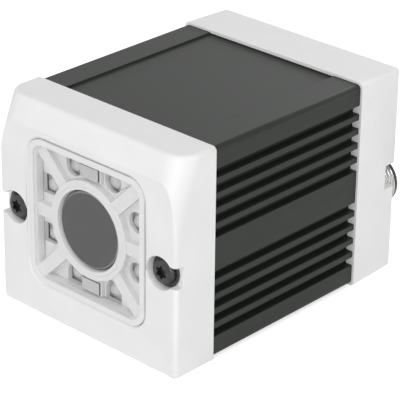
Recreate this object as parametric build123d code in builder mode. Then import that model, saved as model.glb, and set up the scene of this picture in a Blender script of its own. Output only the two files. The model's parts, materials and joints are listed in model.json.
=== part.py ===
from build123d import *
import os
from math import asin, degrees

# Machine vision camera: white moulded covers at both ends of a finned black body.
# All sizes are in millimetres. X runs to the right seen from the front, Y from front to back, Z up.
# The origin is on the underside, at the middle of the whole length.

os.makedirs("parts", exist_ok=True)

# Case
case_width = 49.0           # over the covers
case_height = 46.0
body_inset = 0.5            # body behind the covers' surface, on all four sides
front_depth = 10.8          # front cover, from its face to the seam
body_length = 42.8          # finned body between the seams
rear_depth = 12.4           # rear cover, from the seam to its face
connector_reach = 12.0      # connectors behind the rear face
edge_radius = 1.0           # long edges of body and covers
rear_draft = 0.3            # each side of the rear cover narrows by this much towards its face
side_wall = 4.4
top_wall = 2.9
front_wall = 2.0
rear_wall = 3.0
hollow_round = 1.5          # inner corners of the hollow

# Slope above the window
slope_height = 5.0
slope_depth = 2.0
slope_end_width = 4.6       # long rounding at both ends of the slope, across the front
slope_end_depth = 5.0
front_edge_round = 1.0      # upright front edges
rear_edge_round = 0.6

# Fins and recesses of the body
groove_count = 5            # in each group, above and below the middle band
groove_pitch = 3.15
groove_width = 1.8
groove_depth = 2.0
edge_band = 4.5             # plain band between the top or bottom face and the first groove
recess_width = 34.0
recess_depth = 0.5

# Case screws, M3 with round heads and six-lobe recesses
screw_inset = 4.3           # screw axis from the side face
screw_drop = 1.1            # screw axis below mid height
thread_radius = 1.5
screw_length = 16.0
head_radius = 2.75
head_height = 1.65
head_crown = 0.75           # height of the domed part of the head, which is two cones
head_shoulder_height = 0.5  # the steeper of them
head_shoulder_radius = 2.3
head_flat_radius = 1.4
recess_radius = 0.95        # six-lobe recess, round the lobes' centres
lobe_radius = 0.38
lobe_depth = 1.0
thread_clearance = 0.05
pass_clearance = 0.2        # round a screw where it passes through a cover
channel_wall = 1.65         # round the screw channel in the body
pocket_radius = 3.5
front_pocket_depth = 2.1
rear_pocket_depth = 3.1
front_slot_width = 4.5
rear_slot_width = 5.4
front_boss_wall = 0.35
rear_boss_wall = 1.0

# Gaskets between covers and body
gasket_thickness = 0.8
gasket_width = 2.0
gasket_clearance = 0.1

# Window and reflector
optic_rise = 0.35           # lens axis above mid height
window_web = 0.65           # wall between window and screw pocket
window_height = 31.8
window_round = 4.0
window_bevel = 0.5          # round the window, on the front face
window_seal_thickness = 0.4
flange_width = 1.5          # reflector plate beyond the window, behind the front wall
rim_gap = 0.1
rim_sink = 0.05             # rim behind the front face
rim_width = 1.25
seat_width = 0.4            # ledge under the pane
pane_sink = 0.05
pane_thickness = 0.5
pane_gap = 0.05
plate_thickness = 1.2
rib_width = 2.8
ring_rise = 0.3             # ring in front of the ribs
ring_radius = 10.4
ring_lip_radius = 9.3
ring_lip_height = 0.15
filter_radius = 8.4
filter_gap = 0.1
filter_thickness = 1.0
filter_sink = 0.1           # filter behind the ring's front
filter_seat_width = 0.7

# Lamps and target lights
lamp_hole_radius = 2.15
lamp_margin = 0.3           # from a lamp hole to the inner wall
lamp_offset = 5.4           # lamp axis beside the upright or level centre line
lamp_base = 3.0
lamp_base_height = 0.8
lamp_dome_radius = 1.5
lamp_rise = 2.4             # dome top above the board
lamp_dome_height = 1.0      # the narrowing part, which is two cones
lamp_shoulder_height = 0.65
lamp_shoulder_radius = 1.15
lamp_tip_radius = 0.6
target_width = 5.3
target_wall = 0.175         # from a target light's hole to the ring and to the inner wall
target_clearance = 0.15
target_proud = 0.1          # target light behind the ribs' front
peg_radius = 1.3
peg_height = 1.0

# Boards
board_thickness = 1.6
board_clearance = 0.3
board_bore_radius = 7.0     # hole in the lamp board for the lens
spacer_radius = 2.2
spacer_inset = 3.8          # spacer axis from the hollow's walls
link_length = 16.0
link_width = 3.4
link_drop = 13.0            # board links below mid height
chip_size = 14.0
chip_height = 1.6
tail_length = 6.4           # room for connector tails in front of the rear wall
shaft_clearance = 0.4       # round the focus screw in boards and frame

# Lens, carriage and frame
frame_clearance = 0.2
frame_plate = 1.6
frame_length = 14.2
frame_bore_radius = 8.2
frame_pillar = 4.0
barrel_radius = 6.0
barrel_front_gap = 1.85     # between filter and barrel
barrel_length = 13.0
barrel_throat_radius = 3.2
barrel_throat_length = 6.0
barrel_rear_radius = 4.0
barrel_rear_depth = 3.6
lens_radius = 4.85
lens_thickness = 2.8
lens_bulge = 1.0
seat_gap = 0.03             # round pieces that are pressed or glued in
running_gap = 0.05          # round pieces that turn or slide
carriage_set_back = 2.6     # carriage behind the frame's front plate
carriage_thickness = 4.0
carriage_hub_radius = 8.0
pin_inset = 6.0             # guide pin axis from the side of the hollow
pin_radius = 1.0
pin_boss_radius = 2.2
sensor_width = 11.0
sensor_height = 9.0
sensor_thickness = 1.8

# Focus screw
focus_rise = 11.3           # focus screw above the lens axis
shaft_radius = 1.5
journal_radius = 1.0
nut_boss_radius = 2.6
nut_arm_width = 4.0
focus_head_radius = 2.5
focus_head_height = 1.3
focus_head_gap = 0.1
focus_head_sink = 0.25
focus_slot_width = 0.8
focus_slot_depth = 0.7
clip_radius = 2.6
clip_thickness = 0.7
seal_cord = 0.95            # thickness of the small seal
seal_bore_depth = 1.0

# Connectors, M12
connector_wall_gap = 2.0    # between a connector's flange and the side of the hollow
connector_height = 12.4     # connector axis above the underside
shell_radius = 6.0
shell_neck_radius = 6.6     # plain neck in the rear wall
shell_bore_radius = 4.9
shell_flange_radius = 7.6
shell_flange_thickness = 1.7
shell_chamfer = 0.6
shell_seal_thickness = 1.3
insert_tail = 2.4           # between board and insert
insert_collar = 0.7         # black collar at the end of the socket
insert_collar_radius = 5.6
plug_depth = 9.5            # hollow of the pin connector
contact_circle = 2.65
contact_radius = 0.5
contact_sink = 6.0          # contacts behind the socket's face
pin_sink = 2.0              # pins behind the shell's rim
key_width = 1.2
key_depth = 0.6

# Status lights in the rear face
light_count = 3
light_radius = 1.0
light_pitch = 4.0
light_start = 7.0           # first light from the middle

spare = 2.0                 # how far cutting shapes run past what they cut

# Places worked out from the sizes above, as depths behind the front face
case_length = front_depth + body_length + rear_depth
overall_length = case_length + connector_reach
front_y = -overall_length / 2
half_width = case_width / 2
centre_z = case_height / 2
body_width = case_width - 2 * body_inset
body_height = case_height - 2 * body_inset
hollow_width = case_width - 2 * side_wall
hollow_height = case_height - 2 * top_wall
screw_x = half_width - screw_inset
connector_offset = hollow_width / 2 - shell_flange_radius - connector_wall_gap
pin_offset = hollow_width / 2 - pin_inset
screw_z = centre_z - screw_drop
optic_z = centre_z + optic_rise
channel_radius = thread_radius + thread_clearance
body_boss_radius = channel_radius + channel_wall
front_boss_radius = pocket_radius + front_boss_wall
rear_boss_radius = pocket_radius + rear_boss_wall
rear_seam = front_depth + body_length

window_width = 2 * (screw_x - pocket_radius - window_web)
rim_outer_width = window_width - 2 * rim_gap
rim_outer_height = window_height - 2 * rim_gap
rim_round = window_round - rim_gap
pane_opening_width = rim_outer_width - 2 * rim_width
pane_opening_height = rim_outer_height - 2 * rim_width
pane_opening_round = rim_round - rim_width
well_width = pane_opening_width - 2 * seat_width
well_height = pane_opening_height - 2 * seat_width
well_round = pane_opening_round - seat_width
pane_front = rim_sink + pane_sink
pane_back = pane_front + pane_thickness
plate_front = front_wall + window_seal_thickness
plate_back = plate_front + plate_thickness
plate_width = window_width + 2 * flange_width
plate_height = window_height + 2 * flange_width
plate_round = window_round + flange_width
ring_front = pane_back + pane_gap + ring_lip_height
rib_front = ring_front + ring_rise
filter_front = ring_front + filter_sink
filter_back = filter_front + filter_thickness
filter_bore_radius = filter_radius + filter_gap
filter_seat_radius = filter_radius - filter_seat_width
lamp_far_x = well_width / 2 - lamp_hole_radius - lamp_margin
lamp_far_z = well_height / 2 - lamp_hole_radius - lamp_margin
target_z = (ring_radius + well_height / 2) / 2
target_height = well_height / 2 - ring_radius - 2 * (target_wall + target_clearance)
lamp_board_front = plate_back + peg_height
lamp_board_back = lamp_board_front + board_thickness

frame_front = lamp_board_back
frame_back = frame_front + frame_length
barrel_front = filter_back + barrel_front_gap
barrel_back = barrel_front + barrel_length
lens_back = barrel_back - barrel_rear_depth - barrel_throat_length
lens_front = lens_back - lens_thickness
lens_curve = (lens_radius**2 + lens_bulge**2) / (2 * lens_bulge)
lens_rim_angle = degrees(asin(lens_radius / lens_curve))
carriage_front = frame_front + frame_plate + carriage_set_back
sensor_board_back = frame_back + board_thickness
rear_wall_front = case_length - rear_wall
interface_board_back = rear_wall_front - tail_length
interface_board_front = interface_board_back - board_thickness
processor_board_front = (sensor_board_back + interface_board_front - board_thickness) / 2
processor_board_back = processor_board_front + board_thickness
spacer_x = hollow_width / 2 - spacer_inset
spacer_z = hollow_height / 2 - spacer_inset
link_z = centre_z - link_drop
focus_z = optic_z + focus_rise
shaft_hole_radius = shaft_radius + shaft_clearance
focus_head_back = case_length - focus_head_sink
focus_head_front = focus_head_back - focus_head_height
seal_bore_radius = shaft_radius + running_gap + seal_cord


def front_plane(depth):
    """Upright plane a given depth behind the front face, drawn as seen from the front."""
    return Plane(origin=(0, front_y + depth, 0), x_dir=(1, 0, 0), z_dir=(0, -1, 0))


def optic_plane(depth):
    """The same, with its middle on the lens axis."""
    return Plane(origin=(0, front_y + depth, optic_z), x_dir=(1, 0, 0), z_dir=(0, -1, 0))


def turning_plane(x, z):
    """Plane for the half section of a turned piece: first the depth, then the radius."""
    return Plane(origin=(x, front_y, z), x_dir=(0, 1, 0), z_dir=(1, 0, 0))


def turning_axis(x, z):
    return Axis((x, front_y, z), (0, 1, 0))


def turned(section, x, z):
    """Turned solid from its half section, a list of depth and radius pairs."""
    with BuildPart() as piece:
        with BuildSketch(turning_plane(x, z)):
            with BuildLine():
                Polyline(*section, close=True)
            make_face()
        revolve(axis=turning_axis(x, z))
    return piece.part


def save(part, label):
    """Name a finished piece and write its file."""
    part.label = label
    export_step(part, f"parts/{label}.step")


def hollow_outline(boss_radius, clearance=0.0):
    """Sketch of the hollow inside the case, which goes round the two screw bosses."""
    with Locations((0, centre_z)):
        RectangleRounded(hollow_width - 2 * clearance, hollow_height - 2 * clearance, hollow_round)
    with Locations((-screw_x, screw_z), (screw_x, screw_z)):
        Circle(boss_radius + clearance, mode=Mode.SUBTRACT)


def gasket_outline(clearance=0.0):
    """Sketch of a cover gasket: a frame just outside the hollow, with an ear round each screw."""
    with Locations((0, centre_z)):
        RectangleRounded(
            hollow_width + 2 * gasket_width + 2 * clearance,
            hollow_height + 2 * gasket_width + 2 * clearance,
            hollow_round + gasket_width,
        )
    with Locations((-screw_x, screw_z), (screw_x, screw_z)):
        Circle(thread_radius + pass_clearance + gasket_width / 2 + clearance)


def pocket_cuts(face_depth, floor_depth, slot_width):
    """Cut the round screw pockets, open to the sides, from a cover's face to their floor."""
    outward = spare if floor_depth > face_depth else -spare
    with BuildSketch(front_plane(floor_depth)) as pockets:
        with Locations((-screw_x, screw_z), (screw_x, screw_z)):
            Circle(pocket_radius)
        with Locations((-half_width, screw_z), (half_width, screw_z)):
            Rectangle(2 * screw_inset, slot_width)
    extrude(pockets.sketch, amount=floor_depth - face_depth + outward, mode=Mode.SUBTRACT)


# Body: extruded aluminium with fins on both sides and a screw channel along each
middle_of_first_groove = body_height / 2 - edge_band - groove_width / 2
groove_places = []
for side in (-1, 1):
    for group in (-1, 1):
        for number in range(groove_count):
            height = centre_z + group * (middle_of_first_groove - number * groove_pitch)
            groove_places.append((side * body_width / 2, height))

with BuildPart() as body:
    with BuildSketch(front_plane(front_depth)):
        with Locations((0, centre_z)):
            RectangleRounded(body_width, body_height, edge_radius)
        with Locations((0, body_inset), (0, case_height - body_inset)):
            Rectangle(recess_width, 2 * recess_depth, mode=Mode.SUBTRACT)
        with Locations(*groove_places):
            Rectangle(2 * groove_depth, groove_width, mode=Mode.SUBTRACT)
    extrude(amount=-body_length)
    with BuildSketch(front_plane(front_depth)):
        hollow_outline(body_boss_radius)
        with Locations((-screw_x, screw_z), (screw_x, screw_z)):
            Circle(channel_radius)
    extrude(amount=-body_length, mode=Mode.SUBTRACT)
save(body.part, "body")

# Front cover: an upright block, cut by a leaning one with long rounded corners, whose front
# makes the slope and whose corners fade out down the sides
lean = slope_depth / slope_height
lean_reach = lean * (case_height - slope_height)
lean_length = case_height * (1 + lean**2) ** 0.5
front_seam_y = front_y + front_depth
lean_front = front_y - lean_reach
lean_back = front_seam_y + spare

with BuildPart() as front_cover:
    with BuildSketch(Plane.XY) as plan:
        with Locations((0, front_y + front_depth / 2)):
            Rectangle(case_width, front_depth)
        fillet(plan.vertices().sort_by(Axis.Y)[:2], radius=front_edge_round)
    extrude(amount=case_height)
    with BuildSketch(Plane.XY) as leaning_plan:
        with Locations((0, (lean_front + lean_back) / 2)):
            Rectangle(case_width - 2 * slope_end_width, lean_back - lean_front)
        with Locations((0, (lean_front + slope_end_depth + lean_back) / 2)):
            Rectangle(case_width, lean_back - lean_front - slope_end_depth)
        with Locations(
            (-half_width + slope_end_width, lean_front + slope_end_depth),
            (half_width - slope_end_width, lean_front + slope_end_depth),
        ):
            Ellipse(slope_end_width, slope_end_depth)
    extrude(leaning_plan.sketch, amount=lean_length, dir=(0, lean, 1), mode=Mode.INTERSECT)
    for face in (front_cover.faces().sort_by(Axis.Z)[0], front_cover.faces().sort_by(Axis.Z)[-1]):
        fillet(face.edges().sort_by(Axis.Y)[:-1], radius=edge_radius)
    # Hollow, window, gasket recess, screw holes and pockets
    with BuildSketch(front_plane(front_wall)):
        hollow_outline(front_boss_radius)
    extrude(amount=-front_depth, mode=Mode.SUBTRACT)
    with BuildSketch(optic_plane(-spare)):
        RectangleRounded(window_width, window_height, window_round)
    extrude(amount=-front_wall - 2 * spare, mode=Mode.SUBTRACT)
    with BuildSketch(optic_plane(0)):
        RectangleRounded(
            window_width + 2 * window_bevel,
            window_height + 2 * window_bevel,
            window_round + window_bevel,
        )
    extrude(amount=-window_bevel, taper=45, mode=Mode.SUBTRACT)
    with BuildSketch(front_plane(front_depth - gasket_thickness)):
        gasket_outline(gasket_clearance)
    extrude(amount=-gasket_thickness - spare, mode=Mode.SUBTRACT)
    with BuildSketch(front_plane(-spare)):
        with Locations((-screw_x, screw_z), (screw_x, screw_z)):
            Circle(thread_radius + pass_clearance)
    extrude(amount=-front_depth - 2 * spare, mode=Mode.SUBTRACT)
    pocket_cuts(0, front_pocket_depth, front_slot_width)
save(front_cover.part, "front_cover")

# Rear cover
rear_seam_y = front_y + rear_seam
rear_y = front_y + case_length
connector_places = [(-connector_offset, connector_height), (connector_offset, connector_height)]
light_places = [(light_start + number * light_pitch, focus_z) for number in range(light_count)]

with BuildPart() as rear_cover:
    with BuildSketch(Plane.YZ):
        with BuildLine():
            Polyline(
                (rear_seam_y, 0),
                (rear_y, rear_draft),
                (rear_y, case_height - rear_draft),
                (rear_seam_y, case_height),
                close=True,
            )
        make_face()
    extrude(amount=half_width, both=True)
    with BuildSketch(Plane.XY):
        with BuildLine():
            Polyline(
                (-half_width, rear_seam_y),
                (-half_width + rear_draft, rear_y),
                (half_width - rear_draft, rear_y),
                (half_width, rear_seam_y),
                close=True,
            )
        make_face()
    extrude(amount=case_height, mode=Mode.INTERSECT)
    long_edges = rear_cover.edges().group_by(SortBy.LENGTH)[0]
    fillet(long_edges, radius=edge_radius)
    fillet(rear_cover.faces().sort_by(Axis.Y)[-1].edges(), radius=rear_edge_round)
    with BuildSketch(front_plane(rear_wall_front)):
        hollow_outline(rear_boss_radius)
    extrude(amount=rear_depth, mode=Mode.SUBTRACT)
    with BuildSketch(front_plane(rear_seam + gasket_thickness)):
        gasket_outline(gasket_clearance)
    extrude(amount=gasket_thickness + spare, mode=Mode.SUBTRACT)
    with BuildSketch(front_plane(rear_seam - spare)):
        with Locations((-screw_x, screw_z), (screw_x, screw_z)):
            Circle(thread_radius + pass_clearance)
        with Locations(*connector_places):
            Circle(shell_neck_radius + seat_gap)
        with Locations((0, focus_z)):
            Circle(shaft_radius + running_gap)
        with Locations(*light_places):
            Circle(light_radius + seat_gap)
    extrude(amount=-rear_depth - 2 * spare, mode=Mode.SUBTRACT)
    with BuildSketch(front_plane(focus_head_front - focus_head_gap / 2)):
        with Locations((0, focus_z)):
            Circle(focus_head_radius + running_gap)
    extrude(amount=-rear_wall, mode=Mode.SUBTRACT)
    with BuildSketch(front_plane(rear_wall_front + seal_bore_depth)):
        with Locations((0, focus_z)):
            Circle(seal_bore_radius)
    extrude(amount=seal_bore_depth + spare, mode=Mode.SUBTRACT)
    pocket_cuts(case_length, case_length - rear_pocket_depth, rear_slot_width)
save(rear_cover.part, "rear_cover")

# Gaskets
for label, gasket_front, boss_radius in (
    ("front_seal", front_depth - gasket_thickness, front_boss_radius),
    ("rear_seal", rear_seam, rear_boss_radius),
):
    with BuildPart() as gasket:
        with BuildSketch(front_plane(gasket_front)):
            gasket_outline()
        extrude(amount=-gasket_thickness)
        with BuildSketch(front_plane(gasket_front)):
            hollow_outline(body_boss_radius)
            with Locations((-screw_x, screw_z), (screw_x, screw_z)):
                Circle(thread_radius + pass_clearance)
        extrude(amount=-gasket_thickness, mode=Mode.SUBTRACT)
    save(gasket.part, label)

with BuildPart() as window_seal:
    with BuildSketch(optic_plane(front_wall)):
        RectangleRounded(plate_width, plate_height, plate_round)
        RectangleRounded(window_width, window_height, window_round, mode=Mode.SUBTRACT)
        with Locations((-screw_x, screw_z - optic_z), (screw_x, screw_z - optic_z)):
            Circle(front_boss_radius + frame_clearance, mode=Mode.SUBTRACT)
    extrude(amount=-window_seal_thickness)
save(window_seal.part, "window_seal")


# Case screws
def case_screw(label, x, seat_depth, direction):
    """Screw with a round head. Direction is 1 with the tip towards the back, -1 towards the front."""
    dome_top = seat_depth - direction * head_height
    dome_foot = dome_top + direction * head_crown
    shoulder = dome_foot - direction * head_shoulder_height
    with BuildPart() as screw:
        with BuildSketch(turning_plane(x, screw_z)):
            with BuildLine():
                Polyline(
                    (dome_foot, head_radius),
                    (seat_depth, head_radius),
                    (seat_depth, thread_radius),
                    (seat_depth + direction * screw_length, thread_radius),
                    (seat_depth + direction * screw_length, 0),
                    (dome_top, 0),
                    (dome_top, head_flat_radius),
                    (shoulder, head_shoulder_radius),
                    close=True,
                )
            make_face()
        revolve(axis=turning_axis(x, screw_z))
        with BuildSketch(front_plane(dome_top)):
            with Locations((x, screw_z)):
                Circle(recess_radius - lobe_radius / 2)
                with PolarLocations(recess_radius - lobe_radius / 3, 6):
                    Circle(lobe_radius)
        extrude(amount=-direction * lobe_depth, mode=Mode.SUBTRACT)
    save(screw.part, label)


for side, side_name in ((-1, "left"), (1, "right")):
    case_screw(f"front_screw_{side_name}", side * screw_x, front_pocket_depth, 1)
    case_screw(f"rear_screw_{side_name}", side * screw_x, case_length - rear_pocket_depth, -1)

# Reflector: a plate with a rim round the window, a ring round the lens, ribs and lamp holes
lamp_places = []
for side in (-1, 1):
    for level in (-1, 1):
        lamp_places.append((side * lamp_far_x, level * lamp_offset))
        lamp_places.append((side * lamp_offset, level * lamp_far_z))
peg_places = []
for side in (-1, 1):
    for level in (-1, 1):
        peg_places.append((side * well_width / 2, level * well_height / 2))
rib_reach = well_height

with BuildPart() as reflector:
    with BuildSketch(optic_plane(plate_front)):
        RectangleRounded(plate_width, plate_height, plate_round)
        with Locations((-screw_x, screw_z - optic_z), (screw_x, screw_z - optic_z)):
            Circle(front_boss_radius + frame_clearance, mode=Mode.SUBTRACT)
    extrude(amount=-plate_thickness)
    with BuildSketch(optic_plane(rim_sink)):
        RectangleRounded(rim_outer_width, rim_outer_height, rim_round)
        RectangleRounded(well_width, well_height, well_round, mode=Mode.SUBTRACT)
    extrude(amount=-(plate_front - rim_sink))
    with BuildSketch(optic_plane(rim_sink)):
        RectangleRounded(pane_opening_width, pane_opening_height, pane_opening_round)
    extrude(amount=-(pane_back - rim_sink), mode=Mode.SUBTRACT)
    with BuildSketch(optic_plane(rib_front)):
        Rectangle(well_width, rib_width)
        with PolarLocations(0, 2, start_angle=45, angular_range=180):
            Rectangle(2 * rib_reach, rib_width)
        RectangleRounded(well_width, well_height, well_round, mode=Mode.INTERSECT)
    extrude(amount=-(plate_front - rib_front))
    with BuildSketch(optic_plane(ring_front)):
        Circle(ring_radius)
    extrude(amount=-(plate_front - ring_front))
    with BuildSketch(optic_plane(ring_front)):
        Circle(ring_lip_radius)
    extrude(amount=ring_lip_height)
    with BuildSketch(optic_plane(filter_back)):
        Circle(filter_bore_radius)
    extrude(amount=filter_thickness + spare, mode=Mode.SUBTRACT)
    with BuildSketch(optic_plane(filter_back)):
        Circle(filter_seat_radius)
        with Locations(*lamp_places):
            Circle(lamp_hole_radius)
        with Locations((0, -target_z), (0, target_z)):
            Rectangle(target_width + 2 * target_clearance, target_height + 2 * target_clearance)
    extrude(amount=-plate_thickness - spare, mode=Mode.SUBTRACT)
    with BuildSketch(optic_plane(plate_back)):
        with Locations(*peg_places):
            Circle(peg_radius)
    extrude(amount=-peg_height)
save(reflector.part, "reflector")

with BuildPart() as window_pane:
    with BuildSketch(optic_plane(pane_front)):
        RectangleRounded(
            pane_opening_width - 2 * pane_gap,
            pane_opening_height - 2 * pane_gap,
            pane_opening_round - pane_gap,
        )
    extrude(amount=-pane_thickness)
save(window_pane.part, "window_pane")

with BuildPart() as lens_filter:
    with BuildSketch(optic_plane(filter_front)):
        Circle(filter_radius)
    extrude(amount=-filter_thickness)
save(lens_filter.part, "lens_filter")

for level_name, level in (("top", 1), ("bottom", -1)):
    with BuildPart() as target_light:
        with BuildSketch(optic_plane(rib_front + target_proud)):
            with Locations((0, level * target_z)):
                Rectangle(target_width, target_height)
        extrude(amount=-(lamp_board_front - rib_front - target_proud))
    save(target_light.part, f"target_light_{level_name}")

# Lamps: a square base with a clear dome
for number, (x, z) in enumerate(lamp_places, start=1):
    with BuildPart() as lamp:
        with BuildSketch(optic_plane(lamp_board_front)):
            with Locations((x, z)):
                Rectangle(lamp_base, lamp_base)
        extrude(amount=lamp_base_height)
        with BuildSketch(turning_plane(x, optic_z + z)):
            with BuildLine():
                lamp_tip = lamp_board_front - lamp_rise
                dome_foot = lamp_tip + lamp_dome_height
                Polyline(
                    (lamp_tip, 0),
                    (lamp_board_front - lamp_base_height, 0),
                    (lamp_board_front - lamp_base_height, lamp_dome_radius),
                    (dome_foot, lamp_dome_radius),
                    (dome_foot - lamp_shoulder_height, lamp_shoulder_radius),
                    (lamp_tip, lamp_tip_radius),
                    close=True,
                )
            make_face()
        revolve(axis=turning_axis(x, optic_z + z))
    save(lamp.part, f"led_lamp_{number}")

with BuildPart() as led_board:
    with BuildSketch(front_plane(lamp_board_front)):
        hollow_outline(front_boss_radius, board_clearance)
        with Locations((0, optic_z)):
            Circle(board_bore_radius, mode=Mode.SUBTRACT)
    extrude(amount=-board_thickness)
save(led_board.part, "led_board")

# Optics frame: two plates joined by corner pillars
frame_half_x = hollow_width / 2 - frame_clearance - frame_pillar / 2
frame_half_z = hollow_height / 2 - frame_clearance - frame_pillar / 2
guide_places = [(-pin_offset, 0), (pin_offset, 0)]

with BuildPart() as optics_frame:
    for plate_depth in (frame_front, frame_back - frame_plate):
        with BuildSketch(front_plane(plate_depth)):
            hollow_outline(front_boss_radius, frame_clearance)
            with Locations((0, optic_z)):
                Circle(frame_bore_radius, mode=Mode.SUBTRACT)
        extrude(amount=-frame_plate)
    with BuildSketch(front_plane(frame_front)):
        with Locations((0, centre_z)):
            with GridLocations(2 * frame_half_x, 2 * frame_half_z, 2, 2):
                RectangleRounded(frame_pillar, frame_pillar, hollow_round)
    extrude(amount=-frame_length)
    with BuildSketch(optic_plane(frame_front)):
        with Locations(*guide_places):
            Circle(pin_radius + seat_gap)
    extrude(amount=-frame_length, mode=Mode.SUBTRACT)
    with BuildSketch(optic_plane(frame_front)):
        with Locations((0, focus_rise)):
            Circle(journal_radius + running_gap)
    extrude(amount=-frame_plate, mode=Mode.SUBTRACT)
    with BuildSketch(optic_plane(frame_back)):
        with Locations((0, focus_rise)):
            Circle(shaft_hole_radius)
    extrude(amount=frame_plate, mode=Mode.SUBTRACT)
save(optics_frame.part, "optics_frame")

for side, side_name in ((-1, "left"), (1, "right")):
    with BuildPart() as guide_pin:
        with BuildSketch(optic_plane(frame_front)):
            with Locations((side * pin_offset, 0)):
                Circle(pin_radius)
        extrude(amount=-frame_length)
    save(guide_pin.part, f"guide_pin_{side_name}")

with BuildPart() as lens_carriage:
    with BuildSketch(optic_plane(carriage_front)):
        Circle(carriage_hub_radius)
        Rectangle(2 * pin_offset, 2 * pin_boss_radius)
        with Locations(*guide_places):
            Circle(pin_boss_radius)
        with Locations((0, focus_rise / 2)):
            Rectangle(nut_arm_width, focus_rise)
        with Locations((0, focus_rise)):
            Circle(nut_boss_radius)
            Circle(shaft_radius + running_gap, mode=Mode.SUBTRACT)
        with Locations(*guide_places):
            Circle(pin_radius + running_gap, mode=Mode.SUBTRACT)
        Circle(barrel_radius + seat_gap, mode=Mode.SUBTRACT)
    extrude(amount=-carriage_thickness)
save(lens_carriage.part, "lens_carriage")

save(
    turned(
        [
            (barrel_front, lens_radius + seat_gap),
            (barrel_front, barrel_radius),
            (barrel_back, barrel_radius),
            (barrel_back, barrel_rear_radius),
            (barrel_back - barrel_rear_depth, barrel_rear_radius),
            (barrel_back - barrel_rear_depth, barrel_throat_radius),
            (lens_back, barrel_throat_radius),
            (lens_back, lens_radius + seat_gap),
        ],
        0,
        optic_z,
    ),
    "lens_barrel",
)

with BuildPart() as front_lens:
    with BuildSketch(turning_plane(0, optic_z)):
        with BuildLine():
            bulge = CenterArc((lens_front + lens_curve, 0), lens_curve, 180 - lens_rim_angle, lens_rim_angle)
            Polyline(bulge @ 1, (lens_back, 0), (lens_back, lens_radius), bulge @ 0)
        make_face()
    revolve(axis=turning_axis(0, optic_z))
save(front_lens.part, "front_lens")

# Focus screw: head in the rear cover, thread in the carriage, journal in the frame
journal_front = frame_front + frame_clearance
journal_back = frame_front + frame_plate + frame_clearance
with BuildPart() as focus_screw:
    with BuildSketch(turning_plane(0, focus_z)):
        with BuildLine():
            Polyline(
                (journal_front, 0),
                (journal_front, journal_radius),
                (journal_back, journal_radius),
                (journal_back, shaft_radius),
                (focus_head_front, shaft_radius),
                (focus_head_front, focus_head_radius),
                (focus_head_back, focus_head_radius),
                (focus_head_back, 0),
                close=True,
            )
        make_face()
    revolve(axis=turning_axis(0, focus_z))
    with BuildSketch(front_plane(focus_head_back)):
        with Locations((0, focus_z)):
            Rectangle(2 * focus_head_radius, focus_slot_width)
    extrude(amount=focus_slot_depth, mode=Mode.SUBTRACT)
save(focus_screw.part, "focus_screw")

clip_back = rear_wall_front - running_gap
save(
    turned(
        [
            (clip_back - clip_thickness, shaft_radius + seat_gap),
            (clip_back - clip_thickness, clip_radius),
            (clip_back, clip_radius),
            (clip_back, shaft_radius + seat_gap),
        ],
        0,
        focus_z,
    ),
    "focus_clip",
)

save(
    turned(
        [
            (rear_wall_front, shaft_radius + running_gap),
            (rear_wall_front, seal_bore_radius - seat_gap),
            (rear_wall_front + seal_bore_depth, seal_bore_radius - seat_gap),
            (rear_wall_front + seal_bore_depth, shaft_radius + running_gap),
        ],
        0,
        focus_z,
    ),
    "focus_seal",
)


# Electronics
def inner_board(label, front, holes=()):
    """Board that fills the hollow. Each hole is an x and z place and a radius."""
    with BuildPart() as board:
        with BuildSketch(front_plane(front)):
            hollow_outline(rear_boss_radius, board_clearance)
            with Locations((0, focus_z)):
                Circle(shaft_hole_radius, mode=Mode.SUBTRACT)
            for x, z, radius in holes:
                with Locations((x, z)):
                    Circle(radius, mode=Mode.SUBTRACT)
        extrude(amount=-board_thickness)
    save(board.part, label)


def block(label, front, back, width, height, x, z):
    """Plain moulded block, such as a chip or a board connector."""
    with BuildPart() as piece:
        with BuildSketch(front_plane(front)):
            with Locations((x, z)):
                Rectangle(width, height)
        extrude(amount=-(back - front))
    save(piece.part, label)


inner_board("sensor_board", frame_back)
inner_board("processor_board", processor_board_front)
inner_board("interface_board", interface_board_front)
block("image_sensor", frame_back - sensor_thickness, frame_back, sensor_width, sensor_height, 0, optic_z)
block("processor_chip", processor_board_back, processor_board_back + chip_height, chip_size, chip_size,
      0, centre_z)
block("board_link_front", sensor_board_back, processor_board_front, link_length, link_width, 0, link_z)
block("board_link_rear", processor_board_back, interface_board_front, link_length, link_width, 0, link_z)

for label, front, back in (
    ("front_spacers", sensor_board_back, processor_board_front),
    ("rear_spacers", processor_board_back, interface_board_front),
):
    with BuildPart() as spacers:
        with BuildSketch(front_plane(front)):
            with Locations((0, centre_z)):
                with GridLocations(2 * spacer_x, 2 * spacer_z, 2, 2):
                    RegularPolygon(spacer_radius, 6)
        extrude(amount=-(back - front))
    save(spacers.part, label)

# Connectors
flange_back = rear_wall_front - shell_seal_thickness
flange_front = flange_back - shell_flange_thickness
insert_front = interface_board_back + insert_tail
socket_rim = overall_length - insert_collar
contact_places = [(contact_circle, 0), (0, contact_circle), (-contact_circle, 0), (0, -contact_circle)]


def connector_shell(label, x, rim):
    """Threaded shell with a flange behind the rear wall."""
    save(
        turned(
            [
                (flange_front, shell_bore_radius),
                (flange_front, shell_flange_radius),
                (flange_back, shell_flange_radius),
                (flange_back, shell_neck_radius),
                (case_length, shell_neck_radius),
                (case_length, shell_radius),
                (rim - shell_chamfer, shell_radius),
                (rim, shell_radius - shell_chamfer),
                (rim, shell_bore_radius),
            ],
            x,
            connector_height,
        ),
        label,
    )
    save(
        turned(
            [
                (flange_back, shell_neck_radius + seat_gap),
                (flange_back, shell_flange_radius),
                (rear_wall_front, shell_flange_radius),
                (rear_wall_front, shell_neck_radius + seat_gap),
            ],
            x,
            connector_height,
        ),
        label.replace("shell", "seal"),
    )


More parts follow.
